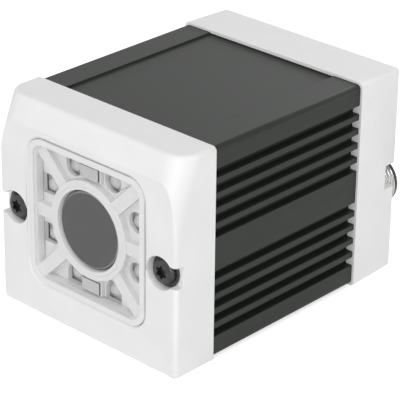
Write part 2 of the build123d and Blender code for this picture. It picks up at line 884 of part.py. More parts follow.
def round_pin(label, x, z, front, back):
    with BuildPart() as pin:
        with BuildSketch(front_plane(front)):
            with Locations((x, z)):
                Circle(contact_radius)
        extrude(amount=-(back - front))
    save(pin.part, label)


connector_shell("network_shell", connector_offset, socket_rim)
connector_shell("power_shell", -connector_offset, overall_length)

with BuildPart() as network_insert:
    with BuildSketch(front_plane(insert_front)):
        with Locations((connector_offset, connector_height)):
            Circle(shell_bore_radius - seat_gap)
    extrude(amount=-(overall_length - insert_front))
    with BuildSketch(front_plane(socket_rim)):
        with Locations((connector_offset, connector_height)):
            Circle(insert_collar_radius)
    extrude(amount=-insert_collar)
    with BuildSketch(front_plane(insert_front)):
        with Locations((connector_offset, connector_height)):
            with Locations(*contact_places):
                Circle(contact_radius + seat_gap)
    extrude(amount=-(overall_length - insert_front), mode=Mode.SUBTRACT)
    with BuildSketch(front_plane(overall_length)):
        with Locations((connector_offset, connector_height + shell_bore_radius - key_depth)):
            Rectangle(key_width, 2 * key_depth)
    extrude(amount=contact_sink, mode=Mode.SUBTRACT)
save(network_insert.part, "network_insert")

power_face = overall_length - plug_depth
with BuildPart() as power_insert:
    with BuildSketch(front_plane(insert_front)):
        with Locations((-connector_offset, connector_height)):
            Circle(shell_bore_radius - seat_gap)
            with Locations(*contact_places):
                Circle(contact_radius + seat_gap, mode=Mode.SUBTRACT)
    extrude(amount=-(power_face - insert_front))
save(power_insert.part, "power_insert")

for number, (x, z) in enumerate(contact_places, start=1):
    round_pin(f"network_contact_{number}", connector_offset + x, connector_height + z,
              interface_board_back, overall_length - contact_sink)
    round_pin(f"power_pin_{number}", -connector_offset + x, connector_height + z,
              interface_board_back, overall_length - pin_sink)

for number, (x, z) in enumerate(light_places, start=1):
    with BuildPart() as light:
        with BuildSketch(front_plane(interface_board_back)):
            with Locations((x, z)):
                Circle(light_radius)
        extrude(amount=-(case_length - interface_board_back))
    save(light.part, f"status_light_{number}")
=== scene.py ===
# %% [markdown]
# The object is a small machine vision camera: a finned black body between two white moulded
# covers. Its solids come ready made from CAD and are loaded here as a fixed frame. Blender's
# part is the finish: soft edges, cut threads, lamps, plastics, metal and light. Working round
# a fixed frame keeps every piece in its true place, so nothing has to be fitted by eye.

# %% Load the frame
import json
import math

import bmesh
import bpy
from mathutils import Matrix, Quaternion, Vector


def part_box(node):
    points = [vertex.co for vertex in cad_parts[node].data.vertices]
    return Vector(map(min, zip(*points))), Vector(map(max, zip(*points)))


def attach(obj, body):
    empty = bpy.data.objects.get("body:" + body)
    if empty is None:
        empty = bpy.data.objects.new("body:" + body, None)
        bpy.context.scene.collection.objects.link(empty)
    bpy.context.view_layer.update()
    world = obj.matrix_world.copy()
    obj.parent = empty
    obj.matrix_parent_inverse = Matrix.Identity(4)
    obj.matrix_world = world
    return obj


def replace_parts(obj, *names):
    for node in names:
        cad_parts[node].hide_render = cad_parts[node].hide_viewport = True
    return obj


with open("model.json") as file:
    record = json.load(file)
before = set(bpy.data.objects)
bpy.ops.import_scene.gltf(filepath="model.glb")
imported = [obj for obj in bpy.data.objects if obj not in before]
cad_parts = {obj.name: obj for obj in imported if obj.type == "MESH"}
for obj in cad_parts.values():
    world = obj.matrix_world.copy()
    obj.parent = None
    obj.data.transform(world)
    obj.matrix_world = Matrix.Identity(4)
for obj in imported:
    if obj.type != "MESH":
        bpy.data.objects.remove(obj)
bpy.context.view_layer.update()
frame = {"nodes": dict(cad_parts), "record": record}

MM = 0.001
nodes = frame["nodes"]
slots = {entry["node"]: entry["material_slot"] for entry in frame["record"]["subparts"]}

# %% [markdown]
# The camera stands in front and to the right, looking down by about 26 degrees. Product shots
# are taken from far away with a long lens, so that parallel edges stay nearly parallel. The
# place is worked out from two angles and a distance round a point in the body. Typing in a
# position would also work, but angles are easier to read and to correct.

# %% Camera
azimuth = math.radians(42.94)
elevation = math.radians(25.98)
roll = math.radians(0.73)
distance = 0.415
aim = Vector((5.23 * MM, -11.95 * MM, 22.79 * MM))
backwards = Vector((
    math.sin(azimuth) * math.cos(elevation),
    -math.cos(azimuth) * math.cos(elevation),
    math.sin(elevation),
))
camera_data = bpy.data.cameras.new("photo_camera")
camera_data.lens = 185.52
camera_data.clip_start = 0.05
camera_data.clip_end = 20.0
camera = bpy.data.objects.new("photo_camera", camera_data)
bpy.context.scene.collection.objects.link(camera)
camera.location = aim + backwards * distance
camera.rotation_mode = "QUATERNION"
camera.rotation_quaternion = (-backwards).to_track_quat("-Z", "Y") @ Quaternion((0, 0, 1), roll)
bpy.context.scene.camera = camera
print("camera is", round(camera.location.length, 3), "m from the origin")

# %% [markdown]
# The studio has a pale surround that lights everything evenly from all sides. It is pure white
# only to the camera and to rays that metal or glass sends on, so that the background is white
# without more light falling on the object. A brighter surround for everything would be simpler,
# but it would wash out the shadows in the grooves.

# %% World
scene = bpy.context.scene
scene.view_settings.view_transform = "Standard"
WHITE = (1, 1, 1, 1)
SURROUND_STRENGTH = 0.40


def background_rays(tree):
    """Socket that is 1 for the camera's own rays and for rays off metal or through glass."""
    path = tree.nodes.new("ShaderNodeLightPath")
    seen = path.outputs["Is Camera Ray"]
    for kind in ("Is Glossy Ray", "Is Transmission Ray"):
        either = tree.nodes.new("ShaderNodeMath")
        either.operation = "MAXIMUM"
        tree.links.new(seen, either.inputs[0])
        tree.links.new(path.outputs[kind], either.inputs[1])
        seen = either.outputs[0]
    return seen


world = bpy.data.worlds.new("studio")
scene.world = world
world.use_nodes = True
world_tree = world.node_tree
world_tree.nodes.clear()
surround = world_tree.nodes.new("ShaderNodeBackground")
surround.inputs["Color"].default_value = WHITE
surround.inputs["Strength"].default_value = SURROUND_STRENGTH
backdrop = world_tree.nodes.new("ShaderNodeBackground")
world_mix = world_tree.nodes.new("ShaderNodeMixShader")
world_output = world_tree.nodes.new("ShaderNodeOutputWorld")
backdrop.inputs["Color"].default_value = WHITE
world_tree.links.new(background_rays(world_tree), world_mix.inputs[0])
world_tree.links.new(surround.outputs[0], world_mix.inputs[1])
world_tree.links.new(backdrop.outputs[0], world_mix.inputs[2])
world_tree.links.new(world_mix.outputs[0], world_output.inputs["Surface"])
print("surround strength:", SURROUND_STRENGTH)

# %% [markdown]
# A key lamp at the front right gives the covers their form. Wide soft lamps at the front left
# and above fill the shadows, one level with the case lights its grooved side, and a weak one
# stands behind. A wide lamp gives a soft shadow, which suits white plastic, where a small one
# would draw hard edges.

# %% Studio lamps
LAMP_TARGET = Vector((0, 0, 0.02))


def studio_lamp(name, place, width, power):
    """Square lamp at a place in metres, turned towards the object. Width in metres, power in watts."""
    lamp = bpy.data.lights.new(name, "AREA")
    lamp.shape = "SQUARE"
    lamp.size = width
    lamp.energy = power
    holder = bpy.data.objects.new(name, lamp)
    scene.collection.objects.link(holder)
    holder.location = place
    holder.rotation_mode = "QUATERNION"
    holder.rotation_quaternion = (LAMP_TARGET - Vector(place)).to_track_quat("-Z", "Y")


studio_lamp("key_lamp", (0.68, -0.86, 0.36), 0.35, 4.3)
studio_lamp("front_lamp", (-0.45, -0.9, 0.5), 0.6, 1.6)
studio_lamp("top_lamp", (0.1, -0.3, 1.0), 0.8, 3.2)
studio_lamp("side_lamp", (0.95, 0.0, 0.18), 0.3, 1.6)
studio_lamp("back_lamp", (-0.4, 0.9, 0.5), 0.6, 1.2)

# %% [markdown]
# The floor is pale and matt. A real white sheet would need a lot of light to come out pure
# white, so it glows a little on top of the light that it returns, with the same switch as the
# surround: the glow is seen, also in metal and glass, but lights nothing. The shadow under the
# object stays, because a shadow takes away only the returned part.

# %% Floor
FLOOR_REACH = 6.0
FLOOR_DROP = 0.02 * MM
FLOOR_GREY = 0.82
FLOOR_ROUGHNESS = 0.9
FLOOR_SHEEN = 0.1
FLOOR_GLOW = 0.6
floor_mesh = bpy.data.meshes.new("floor")
floor_corners = [(x * FLOOR_REACH, y * FLOOR_REACH, 0) for x, y in ((-1, -1), (1, -1), (1, 1), (-1, 1))]
floor_mesh.from_pydata(floor_corners, [], [(0, 1, 2, 3)])
floor = bpy.data.objects.new("floor", floor_mesh)
scene.collection.objects.link(floor)
floor.location.z = -FLOOR_DROP
floor_paint = bpy.data.materials.new("floor_sheet")
floor_paint.use_nodes = True
floor_tree = floor_paint.node_tree
floor_shader = floor_tree.nodes["Principled BSDF"]
floor_shader.inputs["Base Color"].default_value = (FLOOR_GREY, FLOOR_GREY, FLOOR_GREY, 1)
floor_shader.inputs["Roughness"].default_value = FLOOR_ROUGHNESS
floor_shader.inputs["Specular IOR Level"].default_value = FLOOR_SHEEN
glow = floor_tree.nodes.new("ShaderNodeEmission")
glow.inputs["Strength"].default_value = FLOOR_GLOW
glow_share = floor_tree.nodes.new("ShaderNodeMixShader")
nothing = floor_tree.nodes.new("ShaderNodeEmission")
nothing.inputs["Strength"].default_value = 0.0
both = floor_tree.nodes.new("ShaderNodeAddShader")
floor_tree.links.new(background_rays(floor_tree), glow_share.inputs[0])
floor_tree.links.new(nothing.outputs[0], glow_share.inputs[1])
floor_tree.links.new(glow.outputs[0], glow_share.inputs[2])
floor_tree.links.new(floor_shader.outputs[0], both.inputs[0])
floor_tree.links.new(glow_share.outputs[0], both.inputs[1])
floor_tree.links.new(both.outputs[0], floor_tree.nodes["Material Output"].inputs["Surface"])
floor_mesh.materials.append(floor_paint)
print("floor side:", 2 * FLOOR_REACH, "m")

# %% [markdown]
# Every finish here is one recipe with other numbers: two close colours mixed by a soft noise,
# a roughness that wavers a little, and a fine bump for the grain of the mould or the tool.
# Real surfaces are never one flat colour, and the eye notices even a few percent. The noise
# follows the object's own coordinates, so it needs no unwrapping and stays put when the piece
# moves.

# %% A helper for finishes
NOISE_LOW = 0.3
NOISE_HIGH = 0.7
PATCH_DETAIL = 4.0
GRAIN_DETAIL = 2.0
GRAIN_HEIGHT = 0.02 * MM


def finish(name, dark, light, roughness, patch=4.0, grain=0.12, bump=0.05, stretch=(1, 1, 1), **constants):
    """Material with wavering colour and roughness and a fine grain. Patch and grain are in millimetres.

    The constants are named like the shader's sockets, with an underscore for each space.
    """
    paint = bpy.data.materials.new(name)
    paint.use_nodes = True
    made = paint.node_tree
    shader = made.nodes["Principled BSDF"]
    place = made.nodes.new("ShaderNodeTexCoord")
    scaled = made.nodes.new("ShaderNodeMapping")
    scaled.inputs["Scale"].default_value = stretch
    made.links.new(place.outputs["Object"], scaled.inputs["Vector"])

    patches = made.nodes.new("ShaderNodeTexNoise")
    patches.inputs["Scale"].default_value = 1 / (patch * MM)
    patches.inputs["Detail"].default_value = PATCH_DETAIL
    made.links.new(scaled.outputs[0], patches.inputs["Vector"])
    colours = made.nodes.new("ShaderNodeValToRGB")
    stops = zip(colours.color_ramp.elements, (NOISE_LOW, NOISE_HIGH), (dark, light))
    for stop, position, colour in stops:
        stop.position = position
        stop.color = (*colour, 1)
    made.links.new(patches.outputs["Fac"], colours.inputs["Fac"])
    made.links.new(colours.outputs["Color"], shader.inputs["Base Color"])

    grains = made.nodes.new("ShaderNodeTexNoise")
    grains.inputs["Scale"].default_value = 1 / (grain * MM)
    grains.inputs["Detail"].default_value = GRAIN_DETAIL
    made.links.new(scaled.outputs[0], grains.inputs["Vector"])
    gloss = made.nodes.new("ShaderNodeMapRange")
    gloss.inputs["To Min"].default_value = roughness[0]
    gloss.inputs["To Max"].default_value = roughness[1]
    made.links.new(patches.outputs["Fac"], gloss.inputs["Value"])
    made.links.new(gloss.outputs["Result"], shader.inputs["Roughness"])
    relief = made.nodes.new("ShaderNodeBump")
    relief.inputs["Strength"].default_value = bump
    relief.inputs["Distance"].default_value = GRAIN_HEIGHT
    made.links.new(grains.outputs["Fac"], relief.inputs["Height"])
    made.links.new(relief.outputs["Normal"], shader.inputs["Normal"])
    for socket, value in constants.items():
        shader.inputs[socket.replace("_", " ")].default_value = value
    return paint


def grey(value, warmth=0.0):
    """Grey of one value, made a little redder and less blue by its warmth."""
    return (value * (1 + warmth), value, value * (1 - warmth))


print("a plain grey:", grey(0.5), "a warm one:", grey(0.5, 0.02))

# %% [markdown]
# The plastics come first. The covers are moulded in a slightly matt white, the reflector
# behind the window in a smoother one that throws the lamps' light forwards. The black plastics
# have little gloss. Gaskets are rubber: very dark, with a broad dull sheen.

# %% Plastics and rubber
paints = {
    "cover_white": finish("cover_white", grey(0.765), grey(0.80), (0.42, 0.52), patch=9.0, bump=0.25),
    "reflector_white": finish("reflector_white", grey(0.725), grey(0.755), (0.30, 0.38), patch=5.0,
                              bump=0.1),
    "insert_black": finish("insert_black", grey(0.018), grey(0.026), (0.4, 0.5), patch=2.0),
    "frame_black": finish("frame_black", grey(0.022), grey(0.034), (0.45, 0.6), patch=3.0),
    "chip_black": finish("chip_black", grey(0.02), grey(0.03), (0.5, 0.6), patch=2.0),
    "gasket_black": finish("gasket_black", grey(0.016), grey(0.024), (0.6, 0.75), patch=2.0, bump=0.3),
}
print("plastics:", sorted(paints))

# %% [markdown]
# The body is extruded aluminium. The die leaves fine lines along its length, and it is then
# anodised black. The lines come from stretching the same noise a long way along Y. Anodising is
# a dull dark oxide over bright metal, so it is made as a dark surface with a soft sheen, not as
# a mirror. The dyed coat isn't a neutral black here but leans slightly towards green.

# %% Metals
DIE_LINES = (1, 0.04, 1)
paints.update({
    "body_black": finish("body_black", (0.0205, 0.0235, 0.0205), (0.028, 0.0315, 0.028), (0.40, 0.52),
                         patch=0.8, grain=0.15, bump=0.35, stretch=DIE_LINES, Metallic=0.2,
                         Specular_IOR_Level=0.2),
    "barrel_black": finish("barrel_black", grey(0.028), grey(0.04), (0.4, 0.5), patch=1.5),
    "screw_black": finish("screw_black", grey(0.035), grey(0.055), (0.28, 0.42), patch=0.8, Metallic=0.6),
    "steel": finish("steel", grey(0.50), grey(0.58), (0.22, 0.34), patch=1.0, Metallic=1.0),
    "spacer_nickel": finish("spacer_nickel", grey(0.52, 0.02), grey(0.62, 0.02), (0.25, 0.35), patch=1.0,
                            Metallic=1.0),
    "shell_nickel": finish("shell_nickel", grey(0.50, 0.02), grey(0.62, 0.02), (0.16, 0.30), patch=0.9,
                           Metallic=1.0),
    "contact_gold": finish("contact_gold", (0.78, 0.56, 0.20), (0.87, 0.66, 0.28), (0.15, 0.25), patch=0.8,
                           Metallic=1.0),
})
print("with metals:", len(paints))

# %% [markdown]
# The pane is clear, so it is almost absent: a low alpha with a smooth surface lets the lamps
# light what is behind it, which real glass also does. Full refraction would block that light
# in this renderer and leave the reflector grey. The lens filter is dark glass, the lamps clear
# resin, and the boards have a green coat over their tracks.

# %% Clear and printed finishes
paints.update({
    "pane_clear": finish("pane_clear", grey(0.60), grey(0.66), (0.03, 0.06), patch=8.0, bump=0.0,
                         Alpha=0.03),
    "filter_dark": finish("filter_dark", grey(0.016), grey(0.019), (0.10, 0.16), patch=6.0, bump=0.0),
    "lens_glass": finish("lens_glass", grey(0.85), grey(0.9), (0.02, 0.05), patch=5.0, bump=0.01,
                         Transmission_Weight=0.9),
    "sensor_glass": finish("sensor_glass", (0.03, 0.035, 0.05), (0.06, 0.07, 0.10), (0.08, 0.14), patch=2.0,
                           bump=0.01),
    "lamp_clear": finish("lamp_clear", grey(0.86), grey(0.92), (0.05, 0.10), patch=0.9, bump=0.01,
                         Alpha=0.35),
    "lamp_ceramic": finish("lamp_ceramic", grey(0.62), grey(0.70), (0.5, 0.6), patch=1.0),
    "lamp_phosphor": finish("lamp_phosphor", (0.60, 0.59, 0.52), (0.68, 0.67, 0.60), (0.6, 0.7), patch=0.4),
    # painted highlight: a lighter grey for the pale line round the lens filter's bevel
    "painted_bevel_highlight": finish("painted_bevel_highlight", grey(0.22), grey(0.28), (0.55, 0.70), patch=0.6, bump=0.3),
    "light_guide": finish("light_guide", grey(0.48), grey(0.54), (0.25, 0.35), patch=1.5, bump=0.05),
    "board_green": finish("board_green", (0.010, 0.075, 0.035), (0.016, 0.10, 0.05), (0.3, 0.4), patch=1.2),
})
for node_name, node in nodes.items():
    node.data.materials.clear()
    node.data.materials.append(paints[slots[node_name]])
print("nodes painted:", len(nodes))

# %% [markdown]
# No real edge is perfectly sharp: a mould leaves a small radius, and that thin line catches
# the light. The two covers and the body are large enough for it to show. The CAD meshes are
# made of loose triangles, so each gets three modifiers: Weld joins the triangles, Decimate in
# its planar mode dissolves them back to flat faces, and Bevel rounds what is left. Modifiers
# leave the CAD mesh itself as it was.

# %% Soft edges
WELD_DISTANCE = 0.0005 * MM
FLAT_ANGLE = math.radians(0.2)
SHARP_ANGLE = math.radians(30)
EDGE_SEGMENTS = 2
COVER_EDGE = 0.12 * MM
BODY_EDGE = 0.15 * MM


def join_triangles(node):
    """Join a CAD mesh's loose triangles."""
    weld = node.modifiers.new("join_triangles", "WELD")
    weld.merge_threshold = WELD_DISTANCE


def merge_flats(node):
    """Turn the triangles of flat faces back into single faces."""
    flats = node.modifiers.new("clean_flats", "DECIMATE")
    flats.decimate_type = "DISSOLVE"
    flats.angle_limit = FLAT_ANGLE


def round_edges(node, width):
    """Round the sharp edges of a shape by a width."""
    edge = node.modifiers.new("soft_edge", "BEVEL")
    edge.width = width
    edge.segments = EDGE_SEGMENTS
    edge.limit_method = "ANGLE"
    edge.angle_limit = SHARP_ANGLE
    edge.use_clamp_overlap = False
    edge.harden_normals = True


for node_name, width in (("front_cover", COVER_EDGE), ("rear_cover", COVER_EDGE), ("body", BODY_EDGE)):
    join_triangles(nodes[node_name])
    merge_flats(nodes[node_name])
    round_edges(nodes[node_name], width)
print("softened:", [n.name for n in nodes.values() if n.modifiers])

# %% [markdown]
# Turned pieces are built ring by ring round an axis that runs from front to back. A ring is a
# list of points, and two rings are joined by a band of four-sided faces. The same helpers
# serve the connectors, the screws, the lamps and the filter, and the number of points in a
# ring decides how round a piece looks: many on the filter in the middle of the picture, few
# on a small lamp.

# %% Helpers for turned pieces
LOBES = 6


def ring(shape, centre, depth, radius, count, lobe=0.0):
    """Ring of new points round centre, an x and z place. A lobe swells and shrinks it six times."""
    points = []
    for step in range(count):
        angle = math.tau * step / count
        reach = radius + lobe * math.cos(LOBES * angle)
        place = (centre[0] + reach * math.sin(angle), depth, centre[1] + reach * math.cos(angle))
        points.append(shape.verts.new(place))
    return points


def band(shape, first, second):
    """Faces between two rings with the same number of points."""
    faces = []
    for step in range(len(first)):
        ahead = (step + 1) % len(first)
        faces.append(shape.faces.new((first[step], second[step], second[ahead], first[ahead])))
    return faces


def bands(shape, rings):
    """Bands that join each ring to the next one, as one list of faces for each band."""
    return [band(shape, first, second) for first, second in zip(rings, rings[1:])]


print("bumps on a lobed ring:", LOBES)

# %% [markdown]
# Small square things, such as a lamp's base, are blocks with a chamfered front and no back,
# because the back lies against another piece. Ready-made cubes with a bevel would do as well,
# but four corners joined by the same bands take fewer steps, and every size is known.

# %% Helper for blocks
def block(shape, centre, half, front, back, chamfer):
    """Open-backed block with a chamfered front, from half its sizes. Returns its side faces."""
    loops = []
    for depth, inset in ((back, 0), (front + chamfer, 0), (front, chamfer)):
        wide = half[0] - inset
        tall = half[1] - inset
        loops.append([
            shape.verts.new((centre[0] + side * wide, depth, centre[1] + level * tall))
            for side, level in ((-1, -1), (1, -1), (1, 1), (-1, 1))
        ])
    sides = bands(shape, loops)[0]
    shape.faces.new(loops[-1])
    return sides


sample = bmesh.new()
block(sample, (0, 0), (1, 1), 0, 1, 0.1)
print("faces of a block:", len(sample.faces))
sample.free()

# %% [markdown]
# Every piece made from points is finished in the same way: double points are joined, the faces
# are turned to point outwards, and it is shaded smooth except at real edges. It then rides on
# the case, so that it moves with it and never on its own.

# %% Helpers for finished pieces
JOIN_DISTANCE = 0.0002 * MM


def middle(node_name):
    """Centre of a node seen from the front, as x and z."""
    low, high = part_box(node_name)
    return ((low.x + high.x) / 2, (low.z + high.z) / 2)


def finished_piece(name, shape, paint_name, *more_paints):
    """Smooth shaded object from a bmesh, riding on the case.

    The first paint is for the faces with material index 0, and the further ones follow.
    """
    bmesh.ops.remove_doubles(shape, verts=shape.verts, dist=JOIN_DISTANCE)
    bmesh.ops.dissolve_degenerate(shape, edges=shape.edges, dist=JOIN_DISTANCE)
    bmesh.ops.recalc_face_normals(shape, faces=shape.faces)
    mesh = bpy.data.meshes.new(name)
    shape.to_mesh(mesh)
    shape.free()
    mesh.shade_smooth()
    mesh.set_sharp_from_angle(angle=SHARP_ANGLE)
    for paint in (paint_name, *more_paints):
        mesh.materials.append(paints[paint])
    piece = bpy.data.objects.new(name, mesh)
    scene.collection.objects.link(piece)
    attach(piece, "root")
    return piece


print("centre of the filter, x and z in mm:", [round(value / MM, 2) for value in middle("lens_filter")])

# %% [markdown]
# The connector shells carry an M12 thread with a pitch of 1 mm. A stack of separate rings
# would look right from far off, but a real thread climbs as it goes round. Here the rows of
# points run along the helix: going once round lands one pitch further on, where the last
# column joins the first. Rows that run past an end are held at that end, and the radius is
# held back there too, which makes the run-out by the neck and the chamfer at the rim.

# %% A climbing thread
THREAD_PITCH = 1.0 * MM
THREAD_CREST = 6.0 * MM
THREAD_ROOT = 5.4 * MM
THREAD_PROFILE = (0.0, 0.0, 0.7, 1.0, 1.0, 0.7)       # share of the thread's height, over one pitch
SHELL_POINTS = 72


def thread(shape, centre, start, end):
    """Faces of a thread round an x and z place, between two depths."""
    per_pitch = len(THREAD_PROFILE)
    turns = math.ceil((end - start) / THREAD_PITCH) + 1
    grid = []
    for column in range(SHELL_POINTS):
        angle = math.tau * column / SHELL_POINTS
        points = []
        for row in range(turns * per_pitch + 1):
            depth = start + THREAD_PITCH * (row / per_pitch + column / SHELL_POINTS - 1)
            depth = min(max(depth, start), end)
            radius = THREAD_ROOT + (THREAD_CREST - THREAD_ROOT) * THREAD_PROFILE[row % per_pitch]
            radius = min(radius, THREAD_ROOT + (depth - start), THREAD_ROOT + (end - depth))
            place = (centre[0] + radius * math.sin(angle), depth, centre[1] + radius * math.cos(angle))
            points.append(shape.verts.new(place))
        grid.append(points)
    for column in range(SHELL_POINTS):
        shift = 0 if column < SHELL_POINTS - 1 else per_pitch
        here = grid[column]
        there = grid[(column + 1) % SHELL_POINTS]
        for row in range(turns * per_pitch - shift):
            shape.faces.new((here[row], here[row + 1], there[row + 1 + shift], there[row + shift]))


print("thread height in mm:", round((THREAD_CREST - THREAD_ROOT) / MM, 2))

# %% [markdown]
# The rest of a shell is turned from bar: a flange inside the case, a smooth neck through the
# cover, and a bore for the insert with its pins. Its outline is a list of depths and radii, like
# a lathe's drawing, and starts and ends at the two ends of the thread.

# %% Threaded shells
NECK_RADIUS = 6.6 * MM
NECK_CHAMFER = 0.2 * MM
FLANGE_RADIUS = 7.6 * MM
FLANGE_THICKNESS = 1.7 * MM
BORE_RADIUS = 4.9 * MM
BORE_CHAMFER = 0.15 * MM
rear_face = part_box("rear_cover")[1].y


def threaded_shell(node_name):
    """Connector shell with a climbing thread, in place of its plain CAD node."""
    centre = middle(node_name)
    front_end, rim = (corner.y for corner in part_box(node_name))
    shape = bmesh.new()
    thread(shape, centre, rear_face, rim)
    outline = [
        (rear_face, THREAD_ROOT),
        (rear_face, NECK_RADIUS - NECK_CHAMFER),
        (rear_face - NECK_CHAMFER, NECK_RADIUS),
        (front_end + FLANGE_THICKNESS, NECK_RADIUS),
        (front_end + FLANGE_THICKNESS, FLANGE_RADIUS),
        (front_end, FLANGE_RADIUS),
        (front_end, BORE_RADIUS),
        (rim - BORE_CHAMFER, BORE_RADIUS),
        (rim, BORE_RADIUS + BORE_CHAMFER),
        (rim, THREAD_ROOT),
    ]
    bands(shape, [ring(shape, centre, depth, radius, SHELL_POINTS) for depth, radius in outline])
    piece = finished_piece(f"{node_name}_threaded", shape, "shell_nickel")
    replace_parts(piece, node_name)
    return piece


for node_name in ("network_shell", "power_shell"):
    shell = threaded_shell(node_name)
    print(shell.name, "triangles:", sum(len(face.vertices) - 2 for face in shell.data.polygons))

# %% [markdown]
# The case screws have a low round head on a wide flange, which spreads the pull over the
# plastic of the covers and nearly fills the pocket. Such screws are cold formed and blackened.
# Here the head comes from an outline of depths and radii, with the crown as a quarter of an
# oval. The shank stays plain, because it is hidden in its hole.

# %% Outline of a case screw
HEAD_HEIGHT = 1.65 * MM
HEAD_RADIUS = 2.70 * MM
HEAD_FLAT_RADIUS = 1.6 * MM
HEAD_CROWN = 0.75 * MM
CROWN_STEPS = 4
SCREW_FLANGE_RADIUS = 3.35 * MM
SCREW_FLANGE_THICKNESS = 0.45 * MM
SCREW_FLANGE_ROUND = 0.12 * MM
SHANK_RADIUS = 1.5 * MM
QUARTER_TURN = 0.5 * math.pi


def screw_outline(length):
    """Depths below the top of the head with their radii, from the flat top down to the tip."""
    outline = [(0.0, HEAD_FLAT_RADIUS)]
    for step in range(1, CROWN_STEPS + 1):
        angle = QUARTER_TURN * step / CROWN_STEPS
        swell = (HEAD_RADIUS - HEAD_FLAT_RADIUS) * math.sin(angle)
        outline.append((HEAD_CROWN * (1 - math.cos(angle)), HEAD_FLAT_RADIUS + swell))
    flange_top = HEAD_HEIGHT - SCREW_FLANGE_THICKNESS
    outline += [
        (flange_top, HEAD_RADIUS),
        (flange_top, SCREW_FLANGE_RADIUS - SCREW_FLANGE_ROUND),
        (flange_top + SCREW_FLANGE_ROUND, SCREW_FLANGE_RADIUS),
        (HEAD_HEIGHT, SCREW_FLANGE_RADIUS),
        (HEAD_HEIGHT, SHANK_RADIUS),
        (length, SHANK_RADIUS),
    ]
    return outline


print("screw flange, width in mm:", round(2 * SCREW_FLANGE_RADIUS / MM, 2))

# %% [markdown]
# A screw is one row of rings, from the bottom of the six-lobe socket up to the top of the head
# and down the outside to the tip. Only the two rings of the socket leave the circle: their
# radius swells and shrinks six times on the way round. Cutting the socket out with a boolean
# would also work, but rings leave cleaner faces. The front and rear screws are mirror images.

# %% Case screws
HEAD_POINTS = 48
SOCKET_RADIUS = 1.2 * MM
SOCKET_LOBE = 0.24 * MM
SOCKET_DEPTH = 1.0 * MM
screw_names = [f"{end}_screw_{side}" for end in ("front", "rear") for side in ("left", "right")]
for node_name in screw_names:
    low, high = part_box(node_name)
    at_front = node_name.startswith("front")
    top = low.y if at_front else high.y
    inward = 1 if at_front else -1
    place = middle(node_name)
    shape = bmesh.new()
    rings = [
        ring(shape, place, top + inward * depth, SOCKET_RADIUS, HEAD_POINTS, SOCKET_LOBE)
        for depth in (SOCKET_DEPTH, 0.0)
    ]
    rings += [
        ring(shape, place, top + inward * depth, radius, HEAD_POINTS)
        for depth, radius in screw_outline(high.y - low.y)
    ]
    bands(shape, rings)
    shape.faces.new(rings[0])
    shape.faces.new(rings[-1])
    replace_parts(finished_piece(f"{node_name}_flanged", shape, "screw_black"), node_name)
print("case screws:", len(screw_names), "head width in mm:", round(2 * HEAD_RADIUS / MM, 2))

# %% [markdown]
# The moulded reflector comes from CAD with a round hole for each lamp. On the real one every
# hole is a slot that runs out to the wall beside it. Eight flat boxes, joined in one mesh, are
# the cutters that take away what lies between hole and wall. Each finds its own wall: it is the
# one in the direction in which its lamp lies furthest from the lens.

# %% Slot cutters
LAMP_HOLE = 2.15 * MM
HOLE_TO_WALL = 0.29 * MM
SLOT_FRONT = 2.0 * MM
SLOT_BACK = 4.2 * MM
front_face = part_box("front_cover")[0].y
lens_place = middle("lens_filter")
lamp_names = [f"led_lamp_{number}" for number in range(1, 9)]

cutters = bmesh.new()
for lamp_name in lamp_names:
    centre = middle(lamp_name)
    away = [centre[0] - lens_place[0], centre[1] - lens_place[1]]
    outward = 0 if abs(away[0]) > abs(away[1]) else 1
    half = [LAMP_HOLE, LAMP_HOLE]
    half[outward] = (LAMP_HOLE + HOLE_TO_WALL) / 2
    cut_centre = list(centre)
    cut_centre[outward] += math.copysign(half[outward], away[outward])
    box = bmesh.ops.create_cube(cutters, size=2)["verts"]
    for corner in box:
        depth = SLOT_FRONT if corner.co.y < 0 else SLOT_BACK
        corner.co = (
            cut_centre[0] + half[0] * corner.co.x,
            front_face + depth,
            cut_centre[1] + half[1] * corner.co.z,
        )
cutter_mesh = bpy.data.meshes.new("slot_cutters")
cutters.to_mesh(cutter_mesh)
cutters.free()
cutter = bpy.data.objects.new("slot_cutters", cutter_mesh)
print("cutter faces:", len(cutter_mesh.polygons))

# %% [markdown]
# Cutting the CAD mesh itself would be shorter, but the frame has to stay as it came, so a copy
# is cut and then stands in for the CAD node. The cut is a Boolean modifier, and what it gives
# is kept as a new mesh. The cutters and the copy are then thrown away.

# %% Slots in the reflector
REFLECTOR_EDGE = 0.10 * MM
blank = nodes["reflector"].copy()
for helper in (cutter, blank):
    scene.collection.objects.link(helper)
join_triangles(blank)
cut = blank.modifiers.new("slots", "BOOLEAN")
cut.object = cutter
cut.solver = "EXACT"
cut_result = blank.evaluated_get(bpy.context.evaluated_depsgraph_get())
slotted_mesh = bpy.data.meshes.new_from_object(cut_result)
for helper in (cutter, blank):
    bpy.data.objects.remove(helper)
reflector = bpy.data.objects.new("reflector_slotted", slotted_mesh)
scene.collection.objects.link(reflector)
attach(reflector, "root")
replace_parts(reflector, "reflector")
round_edges(reflector, REFLECTOR_EDGE)
faces_before = len(nodes["reflector"].data.polygons)
print("reflector:", faces_before, "faces before,", len(slotted_mesh.polygons), "after")
